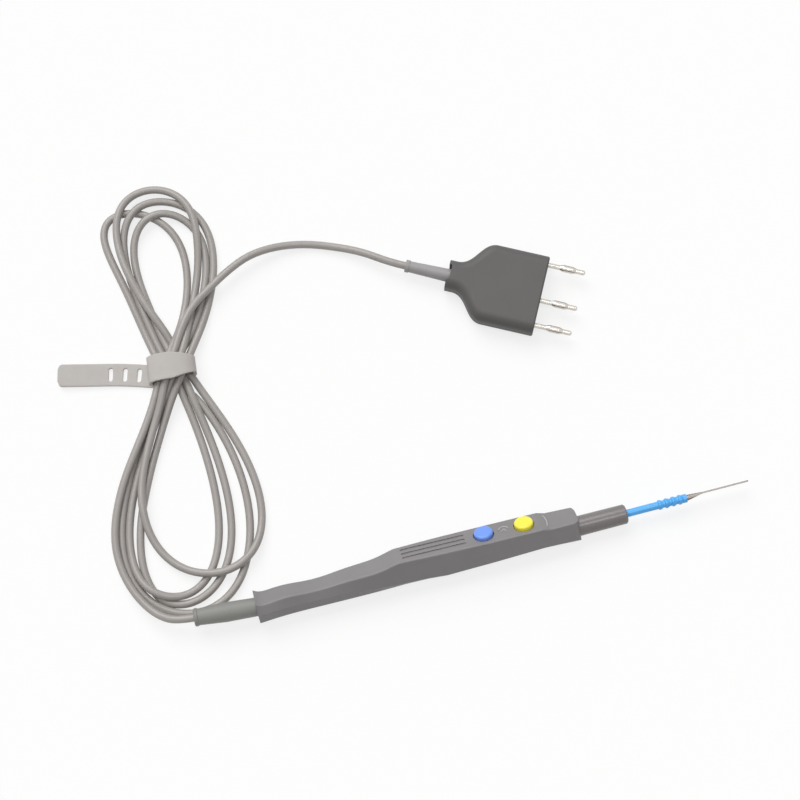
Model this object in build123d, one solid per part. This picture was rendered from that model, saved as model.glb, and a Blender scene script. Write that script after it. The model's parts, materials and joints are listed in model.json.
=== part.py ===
from build123d import *
import os
from math import atan2, cos, degrees, hypot, pi, radians, sin, tan

# Electrosurgical pencil with its cable, hank strap and three-pin plug, in millimetres.
# The handpiece is modelled along its own axis: x runs forward from the rear face of the body,
# y across it, and z along the normal of the button deck. It is then rolled about x and laid down,
# with the origin at the bottom centre of the pencil. The plug has a frame of its own in the same way.

# Handpiece body: hexagonal sections that run from the rear face to the front face.
# Each row is x, deck half width, deck height, ridge half width, ridge height,
# underside half width and underside depth.
HANDLE_SECTIONS = [
    (0.0, 4.8, 5.0, 6.2, 0.0, 4.7, 5.0),
    (8.0, 4.2, 4.1, 5.6, -0.1, 4.4, 4.7),
    (20.0, 3.95, 3.8, 5.2, -0.3, 4.3, 4.6),
    (34.0, 4.2, 4.2, 5.25, -0.8, 4.3, 4.8),
    (44.0, 4.6, 4.8, 5.3, -1.5, 4.15, 5.0),
    (50.5, 4.8, 5.4, 5.35, -2.2, 3.95, 5.1),
    (56.0, 4.95, 6.8, 5.3, -2.8, 3.7, 5.15),
    (60.0, 4.95, 7.4, 5.25, -3.2, 3.5, 5.2),
]
GRIP_SECTIONS = [
    HANDLE_SECTIONS[-1],
    (69.0, 5.3, 7.2, 5.4, -3.5, 3.3, 5.6),
    (77.0, 5.55, 7.0, 5.7, -4.3, 3.2, 6.5),
    (97.0, 5.85, 6.5, 5.85, -3.85, 3.1, 6.1),
    (117.5, 5.8, 6.15, 5.7, -3.3, 2.9, 5.6),
    (121.0, 5.65, 5.1, 5.65, -3.5, 2.9, 5.8),
    (133.0, 5.2, 4.8, 5.3, -4.0, 2.9, 6.6),
]
BODY_LENGTH = GRIP_SECTIONS[-1][0]
EDGE_ROUND = 0.6
INNER_ROUND = 0.3
WALL = 1.3
FRONT_ROUND = 1.6
FRONT_CHAMFER = 0.4
FRONT_CORNER = 3.4
FRONT_TAPER = 0.03
REAR_BULKHEAD = 8.0
FRONT_BULKHEAD = 9.0
ROLL = 40.0

# Tongue and groove along the joint of the two shells.
TONGUE_HEIGHT = 0.8
TONGUE_INSET = 0.5
TONGUE_THICK = 0.35
TONGUE_GAP = 0.06

# Deck details.
GROOVE_COUNT = 3
GROOVE_PITCH = 2.5
GROOVE_WIDTH = 1.2
GROOVE_DEPTH = 0.4
GROOVE_START = 60.6
GROOVE_END = 86.8

# Buttons, the board under them and the snap domes between.
COAG_X = 94.5
CUT_X = 111.1
BUTTON_DIAMETER = 7.7
BUTTON_PROUD = 1.8
BUTTON_CROWN = 0.9
BUTTON_CLEARANCE = 0.35
FLANGE_LENGTH = 9.8
FLANGE_WIDTH = 8.4
FLANGE_THICK = 0.7
FLANGE_GAP = 0.35
STEM_DIAMETER = 3.0
STEM_GAP = 0.05
BOARD_START = 86.4
BOARD_END = 118.4
BOARD_WIDTH = 8.4
BOARD_THICK = 0.8
BOARD_TOP = 2.4
DOME_DIAMETER = 6.0
DOME_HEIGHT = 0.6
DOME_THICK = 0.15
POST_LENGTH = 3.0
POST_WIDTH = 1.3
POST_MARGIN = 0.6
POST_DEPTH = 12.0

# Nose, socket, seal and electrode, all on the nose axis.
NOSE_AXIS_Z = -1.5
NOSE_LENGTH = 19.9
NOSE_SEAT = 1.8
NOSE_DIAMETER = 8.2
NOSE_TIP_DIAMETER = 8.0
NOSE_CHAMFER = 0.6
SPIGOT_DIAMETER = 6.4
NOSE_FLANGE_DIAMETER = 8.2
NOSE_FLANGE_THICK = 1.5
NOSE_FLANGE_SET_BACK = 4.5
SEAT_CLEARANCE = 0.05
SOCKET_DIAMETER = 4.0
SOCKET_TAIL = 15.0
SOCKET_SLOT_WIDTH = 0.4
SOCKET_SLOT_LENGTH = 8.0
SEAL_DIAMETER = 4.6
SEAL_THICK = 1.3
SHAFT_DIAMETER = 2.36
SHAFT_CLEARANCE = 0.04
SHAFT_END_GAP = 0.75
MOUTH_CLEARANCE = 0.1
SLEEVE_IN_NOSE = 3.2
SLEEVE_SHOWN = 25.4
SLEEVE_DIAMETER = 3.1
SLEEVE_RING_DIAMETER = 4.0
SLEEVE_RING_COUNT = 4
SLEEVE_RING_PITCH = 2.8
SLEEVE_RING_LENGTH = 2.0
SLEEVE_RING_RISE = 0.3
SLEEVE_RING_CREST = 0.7
SLEEVE_RING_SET_BACK = 1.6
SLEEVE_COLLAR_DIAMETER = 3.5
ELECTRODE_LENGTH = 70.0
BLADE_SHOWN = 26.8
BLADE_THICK = 0.5
BLADE_OFFSET = 0.45
BLADE_NECK_START = 0.5
BLADE_NECK_LENGTH = 6.5
BLADE_TIP_SLANT = 1.0
BLADE_TIP_ROUND = 1.0
BLADE_TURN = -45.0

# Rear boot, and the end of the cable inside the handle.
CABLE_DIAMETER = 3.6
BOOT_LENGTH = 25.0
BOOT_DIAMETER = 7.5
BOOT_BELLY_DIAMETER = 7.9
BOOT_END_DIAMETER = 6.7
BOOT_LIP_DIAMETER = 7.3
BOOT_LIP_LENGTH = 1.3
BOOT_ROUND = 0.4
BOOT_LEAN = 4.8
BOOT_SPIGOT_DIAMETER = 4.9
BOOT_FLANGE_DIAMETER = 6.6
BOOT_FLANGE_THICK = 2.0
BOOT_FLANGE_START = 3.0
JACKET_END = 14.0
CLAMP_DIAMETER = 5.4
CLAMP_LENGTH = 4.0
CORE_DIAMETER = 1.0
CORE_SPREAD = 1.1
CORE_LANE = 2.0
CORE_ON_BOARD = 3.0
CORE_RISE = 7.0

# Plug, in its own frame: x runs out of the pin face along the pins, y across, z up from the floor.
PLUG_PLACE = (55.3, 95.6)
PLUG_TURN = -28.2
PLUG_WIDTH = 34.2
PLUG_STRAIGHT = 22.0
PLUG_FLARE = 15.0
PLUG_FLARE_EASE = 7.2
PLUG_NECK_LENGTH = 3.0
PLUG_NECK_WIDTH = 12.4
PLUG_NOTCH_LENGTH = 4.0
PLUG_NOTCH_WIDTH = 6.8
PLUG_THICK = 11.0
PLUG_EDGE_ROUND = 4.0
PLUG_FACE_ROUND = 0.8
PIN_PLACES = (14.2, -1.8, -12.8)
PIN_LENGTH = 15.7
PIN_DIAMETER = 2.1
PIN_CORE_DIAMETER = 1.6
PIN_ROOT = 12.0
PIN_TIP_LENGTH = 3.0
PIN_TIP_ROUND = 0.7
SPRING_START = 4.0
SPRING_CREST = 4.0
SPRING_COLLAR = 0.9
SPRING_DIAMETER = 3.0
SPRING_THICK = 0.2
SPRING_SLOTS = 4
SPRING_SLOT_WIDTH = 0.25
PLUG_BOOT_LENGTH = 18.0
PLUG_BOOT_DIAMETER = 5.6
PLUG_BOOT_END_DIAMETER = 4.7
PLUG_BOOT_LIP_DIAMETER = 5.3
PLUG_BOOT_LIP_LENGTH = 1.6
PLUG_BOOT_SEAT = 5.0
PLUG_JACKET_SEAT = 9.0
PLUG_WIRE_LEAD = 5.0
PLUG_WIRE_FAN = 1.5
PLUG_WIRE_RUN = 4.0

# Hank: two loops, each the hull of circles given as x, y and radius, tied at the waist.
HANK_HEIGHT = 7.2
HANK_ROUND = 1.5
WAIST_HEIGHT = 9.8
TIE = (-100.2, 104.5)
TIE_TURN = -6.0
WAIST_WIDTH = 16.0
WAIST_LENGTH = 16.0
UPPER_OUTSIDE = [(-100.2, 107.5, 6.5), (-94.5, 161.5, 22.0), (-88.0, 146.0, 13.5)]
UPPER_INSIDE = [(-97.5, 121.0, 1.0), (-98.0, 163.0, 7.0), (-90.0, 148.0, 5.0)]
LOWER_OUTSIDE = [(-100.2, 101.5, 6.5), (-116.5, 30.5, 22.0), (-101.5, 29.0, 20.5)]
LOWER_INSIDE = [(-101.6, 85.0, 1.0), (-113.0, 35.0, 9.5), (-106.0, 33.0, 8.0)]

# Strap round the waist of the hank, with its tail on the floor.
STRAP_WIDTH = 9.0
STRAP_THICK = 1.3
STRAP_GAP = 0.2
STRAP_TAIL_LENGTH = 40.8
STRAP_TAIL_TURN = 165.6
STRAP_TAIL_ROUND = 2.2
STRAP_SLOTS = (6.7, 12.3, 17.9)
STRAP_SLOT_LENGTH = 5.3
STRAP_SLOT_WIDTH = 1.8
WAIST_LIFT = STRAP_THICK + STRAP_GAP

# Free cable: points chosen along its two stretches, which begin or end at a boot.
FLOOR_HEIGHT = CABLE_DIAMETER / 2
EXIT_RUN = 7.0
START_ROUTE = [
    (-128.0, 5.6, 5.4),
    (-132.8, 11.4, 3.6),
    (-135.4, 18.8, FLOOR_HEIGHT + 0.6),
    (-135.8, 27.0, FLOOR_HEIGHT + 0.1),
]
FINISH_ROUTE = [
    (-84.5, 132.5, 5.0),
    (-75.3, 139.2, 4.8),
    (-64.0, 144.0, 3.2),
    (-50.5, 146.4, FLOOR_HEIGHT + 0.2),
    (-35.0, 145.4, FLOOR_HEIGHT),
    (-20.0, 140.0, FLOOR_HEIGHT + 1.0),
]

NOSE_TIP_X = BODY_LENGTH + NOSE_LENGTH
SLEEVE_START = NOSE_TIP_X - SLEEVE_IN_NOSE
SLEEVE_END = NOSE_TIP_X + SLEEVE_SHOWN
BLADE_TIP = SLEEVE_END + BLADE_SHOWN
SHAFT_START = BLADE_TIP - ELECTRODE_LENGTH
SEAL_GROOVE = SLEEVE_START - SEAL_THICK - 2 * SEAT_CLEARANCE
SOCKET_END = SEAL_GROOVE - SEAT_CLEARANCE
CAVITY_END = BODY_LENGTH - FRONT_BULKHEAD
PARTING_SLOPE = degrees(atan2(-NOSE_AXIS_Z, BODY_LENGTH))
BORE_START = SHAFT_START - SHAFT_END_GAP
SOCKET_START = BORE_START - SOCKET_TAIL

# Larger than the body in every direction, for blocks that cut it.
CLEAR_OF_ALL = 2 * BODY_LENGTH
MIDDLE_AND_UP = (Align.CENTER, Align.CENTER, Align.MIN)
MIDDLE_AND_DOWN = (Align.CENTER, Align.CENTER, Align.MAX)

# The rear boot bends sideways along the floor with the cable, about the centre of the rear face.
LEAN = Location((0, 0, 0), (0, sin(radians(ROLL)), -cos(radians(ROLL))), BOOT_LEAN)


def inset_outline(outline, inset):
    """Moves each side of a closed clockwise outline inwards by inset."""
    moved = []
    for i, corner in enumerate(outline):
        before = outline[i - 1]
        after = outline[(i + 1) % len(outline)]
        normals = []
        for start, end in ((before, corner), (corner, after)):
            span = hypot(end[0] - start[0], end[1] - start[1])
            normals.append(((end[1] - start[1]) / span, (start[0] - end[0]) / span))
        (ay, az), (by, bz) = normals
        share = inset / (1 + ay * by + az * bz)
        moved.append((corner[0] + share * (ay + by), corner[1] + share * (az + bz)))
    return moved


def body_section(row, inset):
    """Hexagonal face with rounded corners, across the body at one x."""
    x, deck_half, deck_z, ridge_half, ridge_z, under_half, under_depth = row
    right = [(deck_half, deck_z), (ridge_half, ridge_z), (under_half, -under_depth)]
    outline = inset_outline(right + [(-y, z) for y, z in reversed(right)], inset)
    corners = [Vector(x, y, z) for y, z in outline]
    radius = INNER_ROUND if inset > EDGE_ROUND else EDGE_ROUND
    starts, arcs = [], []
    for i, corner in enumerate(corners):
        inward = (corner - corners[i - 1]).normalized()
        outward = (corners[(i + 1) % len(corners)] - corner).normalized()
        half_turn = radians(inward.get_angle(outward)) / 2
        reach = radius * tan(half_turn)
        middle = corner + (outward - inward).normalized() * (radius / cos(half_turn) - radius)
        starts.append(corner - inward * reach)
        arcs.append(ThreePointArc(starts[-1], middle, corner + outward * reach))
    edges = []
    for i, arc in enumerate(arcs):
        edges += [arc, Line(arc @ 1, starts[(i + 1) % len(starts)])]
    return Face(Wire(edges))


def body_form(inset=0.0):
    """Smooth rear handle and faceted grip, moved inwards by inset."""
    handle = loft([body_section(row, inset) for row in HANDLE_SECTIONS])
    grip = loft([body_section(row, inset) for row in GRIP_SECTIONS], ruled=True)
    return handle + grip


def deck_height(x):
    """Height of the deck above the body's centre line at x, on the faceted grip."""
    for near, far in zip(GRIP_SECTIONS, GRIP_SECTIONS[1:]):
        if near[0] <= x <= far[0]:
            return near[2] + (far[2] - near[2]) * (x - near[0]) / (far[0] - near[0])


def slab_along(x_start, x_end):
    """Block that covers everything between two stations along x."""
    return Pos((x_start + x_end) / 2, 0, 0) * Box(x_end - x_start, CLEAR_OF_ALL, CLEAR_OF_ALL)


def rod(x_start, x_end, diameter, z=0.0, y=0.0):
    """Round bar along x."""
    bar = Cylinder(diameter / 2, x_end - x_start, align=MIDDLE_AND_UP)
    return Pos(x_start, y, z) * Rot(0, 90, 0) * bar


def turned(profile, z=0.0, y=0.0):
    """Solid of revolution about x from a closed list of (x, radius) points."""
    return Pos(0, y, z) * revolve(make_face(Polyline(*profile, close=True)), Axis.X)


def front_trim():
    """Block that ends at the front face, with the deck's edge and the side corners rounded there."""
    deck = GRIP_SECTIONS[-1][2]
    under = -GRIP_SECTIONS[-1][6]
    half = GRIP_SECTIONS[-1][3]
    span = CLEAR_OF_ALL
    arc_start = (BODY_LENGTH, deck - FRONT_ROUND)
    arc_end = (BODY_LENGTH - FRONT_ROUND, deck + EDGE_ROUND / 4)
    side = Curve() + [
        TangentArc(arc_start, arc_end, tangent=(0, 1)),
        Polyline(
            arc_end,
            (arc_end[0], span),
            (-span, span),
            (-span, -span),
            (BODY_LENGTH - FRONT_CHAMFER, -span),
            (BODY_LENGTH - FRONT_CHAMFER, under),
            (BODY_LENGTH, under + FRONT_CHAMFER),
            arc_start,
        ),
    ]
    wide = half + FRONT_TAPER * (span + BODY_LENGTH)
    plan = make_face(
        Polyline((-span, -wide), (BODY_LENGTH, -half), (BODY_LENGTH, half), (-span, wide), close=True)
    )
    plan = fillet(plan.vertices().group_by(Axis.X)[-1], FRONT_CORNER)
    return extrude(Plane.XZ * make_face(side), span, both=True) & extrude(plan, span, both=True)


def below_parting(lift=0.0):
    """Block under the joint plane, which runs from the boot's axis to the nose axis."""
    block = Box(2 * CLEAR_OF_ALL, CLEAR_OF_ALL, CLEAR_OF_ALL, align=MIDDLE_AND_DOWN)
    return Rot(0, PARTING_SLOPE, 0) * (Pos(0, 0, lift) * block)


def tongue_ring(gap):
    """Closed wall inside the shell wall that joins the halves, grown by gap on all sides."""
    wall = body_form(TONGUE_INSET - gap) - body_form(TONGUE_INSET + TONGUE_THICK + gap)
    wall &= below_parting(TONGUE_HEIGHT + gap) - below_parting(-gap)
    return wall & slab_along(REAR_BULKHEAD, CAVITY_END)


def grip_grooves():
    """Long round-ended grooves along the sloping deck."""
    length = GROOVE_END - GROOVE_START
    middle = (GROOVE_START + GROOVE_END) / 2
    drop = deck_height(GROOVE_START) - deck_height(GROOVE_END)
    slot = extrude(SlotOverall(length, GROOVE_WIDTH), 2 * GROOVE_DEPTH, both=True)
    slope = Rot(0, degrees(atan2(drop, length)), 0)
    slot = Pos(middle, 0, deck_height(middle) + GROOVE_DEPTH) * slope * slot
    first = -(GROOVE_COUNT - 1) / 2 * GROOVE_PITCH
    return [Pos(0, first + i * GROOVE_PITCH, 0) * slot for i in range(GROOVE_COUNT)]


def board_posts():
    """Four posts on the floor of the lower shell that carry the board."""
    posts = []
    bottom = BOARD_TOP - BOARD_THICK
    post = Box(POST_LENGTH, POST_WIDTH, POST_DEPTH, align=MIDDLE_AND_DOWN)
    for x in (BOARD_START + POST_LENGTH, BOARD_END - POST_LENGTH):
        for side in (-1, 1):
            y = side * (BOARD_WIDTH / 2 - POST_MARGIN - POST_WIDTH / 2)
            posts.append(Pos(x, y, bottom) * post)
    return posts


def make_shells():
    """Upper and lower shell of the handpiece."""
    outside = body_form() & front_trim()
    cavity = body_form(WALL) & slab_along(REAR_BULKHEAD, CAVITY_END)
    housing = outside - cavity
    housing -= rod(CAVITY_END - 1, BODY_LENGTH + 1, SPIGOT_DIAMETER + 2 * SEAT_CLEARANCE, NOSE_AXIS_Z)
    seat = BODY_LENGTH - NOSE_SEAT - SEAT_CLEARANCE
    housing -= rod(seat, BODY_LENGTH + 1, NOSE_DIAMETER + 2 * SEAT_CLEARANCE, NOSE_AXIS_Z)
    groove_end = BODY_LENGTH - NOSE_FLANGE_SET_BACK + SEAT_CLEARANCE
    groove_start = groove_end - NOSE_FLANGE_THICK - 2 * SEAT_CLEARANCE
    housing -= rod(groove_start, groove_end, NOSE_FLANGE_DIAMETER + 2 * SEAT_CLEARANCE, NOSE_AXIS_Z)
    housing -= rod(-1, REAR_BULKHEAD + 1, BOOT_SPIGOT_DIAMETER + 2 * SEAT_CLEARANCE)
    housing -= rod(
        BOOT_FLANGE_START - SEAT_CLEARANCE,
        BOOT_FLANGE_START + BOOT_FLANGE_THICK + SEAT_CLEARANCE,
        BOOT_FLANGE_DIAMETER + 2 * SEAT_CLEARANCE,
    )
    upper = housing - below_parting() - tongue_ring(TONGUE_GAP)
    lower = housing & below_parting()
    lower += tongue_ring(0.0)
    lower += [post & body_form(WALL / 2) for post in board_posts()]
    hole = Cylinder(BUTTON_DIAMETER / 2 + BUTTON_CLEARANCE, CLEAR_OF_ALL, align=MIDDLE_AND_UP)
    for x in (COAG_X, CUT_X):
        upper -= Pos(x, 0, 0) * hole
    upper -= grip_grooves()
    return upper, lower


def make_button(x):
    """Round cap on a flange that stays under the deck, with a stem down to the dome."""
    deck = deck_height(x)
    flange_top = deck - WALL - FLANGE_GAP
    top = deck + BUTTON_PROUD
    stem_end = BOARD_TOP + DOME_HEIGHT + STEM_GAP
    cap = Cylinder(BUTTON_DIAMETER / 2, top - flange_top, align=MIDDLE_AND_UP)
    cap = fillet(cap.edges().group_by(Axis.Z)[-1], BUTTON_CROWN)
    flange = Box(FLANGE_LENGTH, FLANGE_WIDTH, FLANGE_THICK, align=MIDDLE_AND_UP)
    flange = fillet(flange.edges().filter_by(Axis.Z), FLANGE_WIDTH / 4)
    stem = Cylinder(STEM_DIAMETER / 2, flange_top - stem_end, align=MIDDLE_AND_UP)
    button = Pos(x, 0, flange_top) * cap
    button += Pos(x, 0, flange_top - FLANGE_THICK) * flange
    return button + Pos(x, 0, stem_end) * stem


def make_dome(x):
    """Thin snap dome on the board."""
    rim = DOME_DIAMETER / 2
    ball = (rim**2 + DOME_HEIGHT**2) / (2 * DOME_HEIGHT)
    centre = Pos(x, 0, BOARD_TOP + DOME_HEIGHT - ball)
    above_board = Pos(x, 0, BOARD_TOP) * Box(4 * rim, 4 * rim, 2 * rim, align=MIDDLE_AND_UP)
    return centre * (Sphere(ball) - Sphere(ball - DOME_THICK)) & above_board


def make_nose():
    """Nose with a spigot and a flange that the two shells hold."""
    back = CAVITY_END + SEAT_CLEARANCE
    flange_end = BODY_LENGTH - NOSE_FLANGE_SET_BACK
    flange_start = flange_end - NOSE_FLANGE_THICK
    spigot = SPIGOT_DIAMETER / 2
    flange = NOSE_FLANGE_DIAMETER / 2
    root = NOSE_DIAMETER / 2
    tip = NOSE_TIP_DIAMETER / 2
    nose = turned(
        [
            (back, 0),
            (back, spigot),
            (flange_start, spigot),
            (flange_start, flange),
            (flange_end, flange),
            (flange_end, spigot),
            (BODY_LENGTH - NOSE_SEAT, spigot),
            (BODY_LENGTH - NOSE_SEAT, root),
            (BODY_LENGTH, root),
            (NOSE_TIP_X - NOSE_CHAMFER, tip),
            (NOSE_TIP_X, tip - NOSE_CHAMFER),
            (NOSE_TIP_X, 0),
        ],
        NOSE_AXIS_Z,
    )
    nose -= rod(back - 1, SOCKET_END + SEAT_CLEARANCE, SOCKET_DIAMETER + 2 * SEAT_CLEARANCE, NOSE_AXIS_Z)
    nose -= rod(SEAL_GROOVE, SLEEVE_START, SEAL_DIAMETER + 2 * SEAT_CLEARANCE, NOSE_AXIS_Z)
    return nose - rod(SEAL_GROOVE, NOSE_TIP_X + 1, SLEEVE_DIAMETER + 2 * MOUTH_CLEARANCE, NOSE_AXIS_Z)


def make_socket():
    """Brass tube with a blind bore and two cross slots, which grips the electrode's shaft."""
    socket = rod(SOCKET_START, SOCKET_END, SOCKET_DIAMETER, NOSE_AXIS_Z)
    socket -= rod(BORE_START, SOCKET_END + 1, SHAFT_DIAMETER + 2 * SHAFT_CLEARANCE, NOSE_AXIS_Z)
    slot = Box(2 * SOCKET_SLOT_LENGTH, 2 * SOCKET_DIAMETER, SOCKET_SLOT_WIDTH)
    for turn in (0, 90):
        socket -= Pos(SOCKET_END, 0, NOSE_AXIS_Z) * Rot(turn, 0, 0) * slot
    return socket


def make_seal():
    """Rubber ring in the nose that grips the shaft and turns with it."""
    start = SEAL_GROOVE + SEAT_CLEARANCE
    ring = rod(start, start + SEAL_THICK, SEAL_DIAMETER, NOSE_AXIS_Z)
    return ring - rod(start - 1, start + SEAL_THICK + 1, SHAFT_DIAMETER + 2 * SHAFT_CLEARANCE, NOSE_AXIS_Z)


def make_electrode():
    """Steel shaft, flattened beyond the sleeve to a blade with a slanted, rounded tip."""
    half = SHAFT_DIAMETER / 2
    neck = SLEEVE_END + BLADE_NECK_START
    flat = neck + BLADE_NECK_LENGTH
    thin = BLADE_THICK / 2
    wide = 2 * half
    side = Polyline(
        (SHAFT_START, wide),
        (neck, half),
        (flat, BLADE_OFFSET + thin),
        (BLADE_TIP, BLADE_OFFSET + thin),
        (BLADE_TIP, BLADE_OFFSET - thin),
        (flat, BLADE_OFFSET - thin),
        (neck, -half),
        (SHAFT_START, -wide),
        close=True,
    )
    plan = Polyline(
        (SHAFT_START, -wide),
        (BLADE_TIP - BLADE_TIP_SLANT, -half),
        (BLADE_TIP, half),
        (SHAFT_START, wide),
        close=True,
    )
    tip_corners = make_face(plan).vertices().group_by(Axis.X)[-2:]
    plan = fillet([corner for group in tip_corners for corner in group], BLADE_TIP_ROUND)
    blade = rod(SHAFT_START, BLADE_TIP, SHAFT_DIAMETER)
    blade &= extrude(Plane.XZ * make_face(side), wide, both=True)
    blade &= extrude(plan, wide, both=True)
    return Pos(0, 0, NOSE_AXIS_Z) * Rot(BLADE_TURN, 0, 0) * blade


def make_electrode_sleeve():
    """Blue insulating sleeve with finger rings towards the blade, steep behind and sloping in front."""
    plain = SLEEVE_DIAMETER / 2
    crest = SLEEVE_RING_DIAMETER / 2
    collar = SLEEVE_COLLAR_DIAMETER / 2
    rings = []
    for i in reversed(range(SLEEVE_RING_COUNT)):
        end = SLEEVE_END - SLEEVE_RING_SET_BACK - i * SLEEVE_RING_PITCH
        start = end - SLEEVE_RING_LENGTH
        crest_start = start + SLEEVE_RING_RISE
        crest_end = crest_start + SLEEVE_RING_CREST
        rings += [(start, plain), (crest_start, crest), (crest_end, crest), (end, plain)]
    outline = [(SLEEVE_START, 0), (SLEEVE_START, plain)] + rings
    outline += [(SLEEVE_END - SLEEVE_RING_SET_BACK, collar), (SLEEVE_END, collar), (SLEEVE_END, 0)]
    sleeve = turned(outline, NOSE_AXIS_Z)
    return sleeve - rod(SLEEVE_START - 1, SLEEVE_END + 1, SHAFT_DIAMETER, NOSE_AXIS_Z)


def make_rear_boot(cable_end):
    """Rubber boot with a lip at its end, and a spigot and flange that the rear of the shells holds."""
    lip = BOOT_LIP_DIAMETER / 2
    lip_end = BOOT_LIP_LENGTH - BOOT_LENGTH
    spigot = BOOT_SPIGOT_DIAMETER / 2
    flange = BOOT_FLANGE_DIAMETER / 2
    flange_end = BOOT_FLANGE_START + BOOT_FLANGE_THICK
    outside = LEAN * turned(
        [
            (-BOOT_LENGTH, 0),
            (-BOOT_LENGTH, lip - BOOT_ROUND),
            (-BOOT_LENGTH + BOOT_ROUND, lip),
            (lip_end, lip),
            (lip_end + BOOT_ROUND, BOOT_END_DIAMETER / 2),
            (-BOOT_LENGTH / 2, BOOT_BELLY_DIAMETER / 2),
            (0, BOOT_DIAMETER / 2),
            (spigot, BOOT_DIAMETER / 2),
            (spigot, 0),
        ]
    )
    inside = turned(
        [
            (0, 0),
            (0, spigot),
            (BOOT_FLANGE_START, spigot),
            (BOOT_FLANGE_START, flange),
            (flange_end, flange),
            (flange_end, spigot),
            (REAR_BULKHEAD, spigot),
            (REAR_BULKHEAD, 0),
        ]
    )
    boot = (outside & slab_along(-2 * BOOT_LENGTH, 0)) + inside
    return boot - cable_end


def make_cable_end():
    """End of the cable's jacket, which bends with the boot and runs on into the handle."""
    boot_end = (LEAN * Pos(-BOOT_LENGTH, 0, 0)).position
    return tube([boot_end, (0, 0, 0), (JACKET_END, 0, 0)], CABLE_DIAMETER, "cable_end")


def make_clamp():
    """Crimp ring on the cable, which bears on the rear bulkhead."""
    start = REAR_BULKHEAD + SEAT_CLEARANCE
    ring = rod(start, start + CLAMP_LENGTH, CLAMP_DIAMETER)
    return ring - rod(start - 1, start + CLAMP_LENGTH + 1, CABLE_DIAMETER)


def route_radii(points):
    """Largest arc that each corner's two runs allow: 0.45 of the shorter run over tan of half the turn."""
    radii = []
    for before, corner, after in zip(points, points[1:], points[2:]):
        inward = Vector(corner) - Vector(before)
        outward = Vector(after) - Vector(corner)
        half_turn = radians(inward.get_angle(outward)) / 2
        radii.append(0.45 * min(inward.length, outward.length) / tan(half_turn))
    return radii


def tube(points, diameter, label):
    """Round bar along straight runs joined by tangent arcs."""
    radii = route_radii(points)
    path = FilletPolyline(*points, radius=radii)
    profile = Plane(path @ 0, z_dir=path % 0) * Circle(diameter / 2)
    bar = sweep(profile, path=path)
    expected = pi * diameter**2 / 4 * path.length
    print(label, "length", round(path.length, 1), "volume share", round(bar.volume / expected, 4))
    print("  radii", [round(radius, 1) for radius in radii])
    return bar


def make_handle_wires():
    """Three insulated cores from the cable's end to the board and the socket."""
    on_board = BOARD_TOP + CORE_DIAMETER / 2 + SEAT_CLEARANCE
    to_board = BOARD_START - CORE_RISE - JACKET_END
    to_socket = SOCKET_START - JACKET_END

    def button_core(side):
        return [
            (JACKET_END, side * CORE_SPREAD, 0),
            (JACKET_END + 0.25 * to_board, side * CORE_SPREAD, 0),
            (JACKET_END + 0.7 * to_board, side * CORE_LANE, on_board / 2),
            (BOARD_START - CORE_RISE, side * CORE_LANE, on_board),
            (BOARD_START + CORE_ON_BOARD, side * CORE_LANE, on_board),
        ]

    active = [
        (JACKET_END, 0, 0),
        (JACKET_END + 0.25 * to_socket, 0, 0.8 * NOSE_AXIS_Z),
        (JACKET_END + 0.6 * to_socket, 0, 1.7 * NOSE_AXIS_Z),
        (JACKET_END + 0.85 * to_socket, 0, 1.3 * NOSE_AXIS_Z),
        (SOCKET_START, 0, NOSE_AXIS_Z),
    ]
    return {
        "active_wire": tube(active, CORE_DIAMETER, "active_wire"),
        "cut_wire": tube(button_core(1), CORE_DIAMETER, "cut_wire"),
        "coag_wire": tube(button_core(-1), CORE_DIAMETER, "coag_wire"),
    }


def make_pencil():
    """All pieces of the handpiece, in its own frame."""
    upper, lower = make_shells()
    cable_end = make_cable_end()
    board_length = BOARD_END - BOARD_START
    board = Box(board_length, BOARD_WIDTH, BOARD_THICK, align=(Align.MIN, Align.CENTER, Align.MAX))
    pieces = {
        "upper_shell": upper,
        "lower_shell": lower,
        "cut_button": make_button(CUT_X),
        "coag_button": make_button(COAG_X),
        "cut_dome": make_dome(CUT_X),
        "coag_dome": make_dome(COAG_X),
        "switch_board": Pos(BOARD_START, 0, BOARD_TOP) * board,
        "nose_sleeve": make_nose(),
        "electrode_socket": make_socket(),
        "electrode_seal": make_seal(),
        "electrode_blade": make_electrode(),
        "electrode_sleeve": make_electrode_sleeve(),
        "rear_boot": make_rear_boot(cable_end),
        "cable_end": cable_end,
        "cable_clamp": make_clamp(),
    }
    pieces.update(make_handle_wires())
    return pieces


def plug_outline():
    """Plan of the plug: straight sides from the pin face, a flare, and a narrow neck."""
    half = PLUG_WIDTH / 2
    neck = PLUG_NECK_WIDTH / 2
    flare_end = -PLUG_STRAIGHT - PLUG_FLARE
    back = flare_end - PLUG_NECK_LENGTH

    def flare(side):
        return Bezier(
            (-PLUG_STRAIGHT, side * half),
            (-PLUG_STRAIGHT - PLUG_FLARE_EASE, side * half),
            (flare_end + PLUG_FLARE_EASE, side * neck),
            (flare_end, side * neck),
        )

    front = Polyline((-PLUG_STRAIGHT, -half), (0, -half), (0, half), (-PLUG_STRAIGHT, half))
    rear = Polyline((flare_end, neck), (back, neck), (back, -neck), (flare_end, -neck))
    return make_face(Curve() + [front, flare(1), rear, flare(-1)])


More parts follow.
